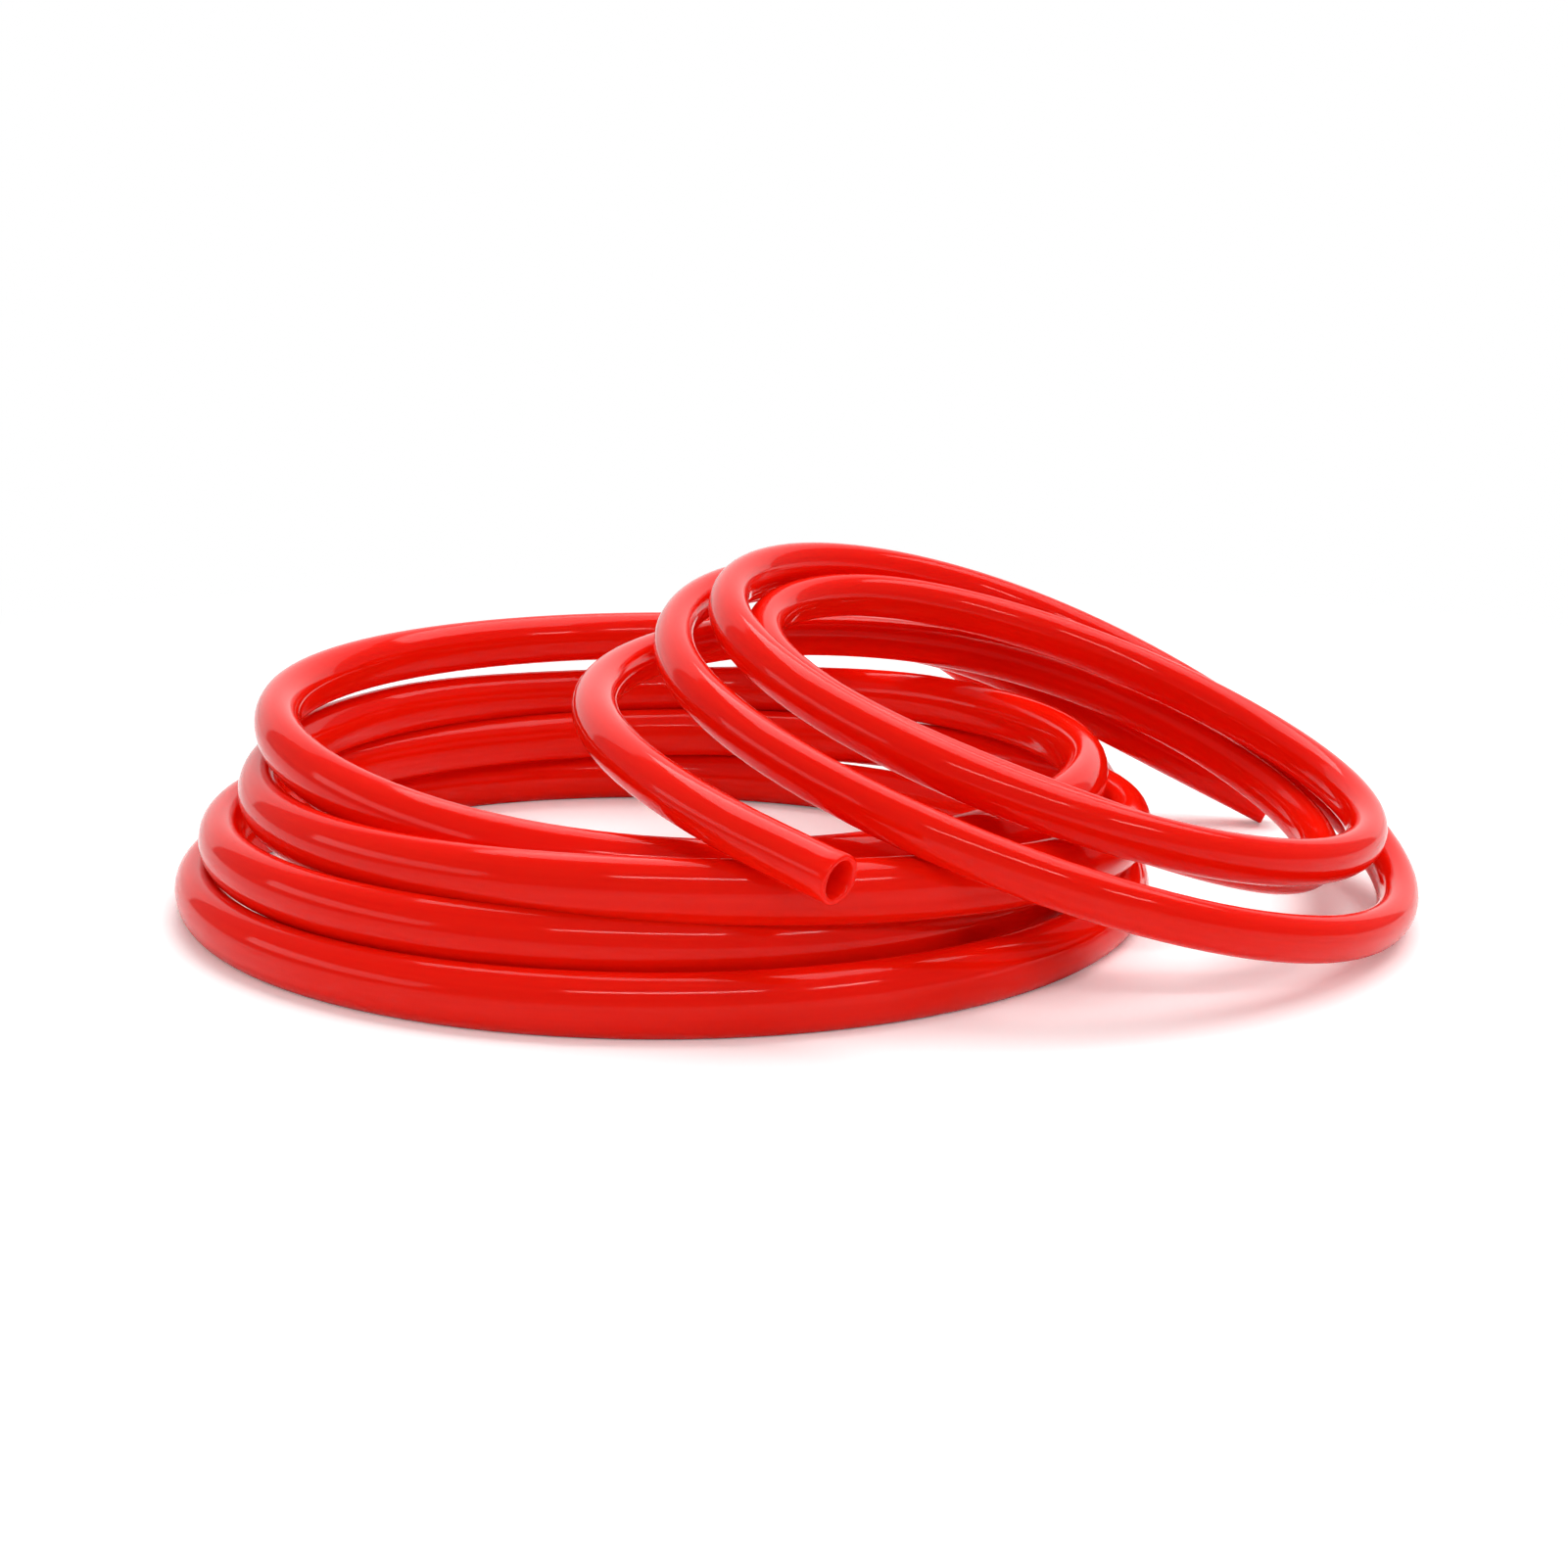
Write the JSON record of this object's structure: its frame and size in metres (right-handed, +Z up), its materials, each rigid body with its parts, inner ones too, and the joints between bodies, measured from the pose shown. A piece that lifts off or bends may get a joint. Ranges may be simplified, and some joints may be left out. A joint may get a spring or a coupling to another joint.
{
  "type": "coiled air hose",
  "caption": "Loose coil of plain round plastic pneumatic hose: stacked turns on the ground, smaller turns leaning over them, both ends cut square.",
  "frame": {"origin": "on the ground, under the middle of the whole coiled hose's bounding box", "axes": "+Z up from the ground, +X from the ground coil towards the leaning coil's low side, -Y towards the side where the open end points"},
  "size_m": [0.2038, 0.1798, 0.0535],
  "materials": {
    "hose": "smooth extruded gloss, slightly translucent red"
  },
  "bodies": {
    "root": {"open_end": "hose", "leaning_coil": "hose", "crossover": "hose", "floor_coil": "hose", "far_stretch": "hose", "far_end": "hose"}
  },
  "joints": []
}
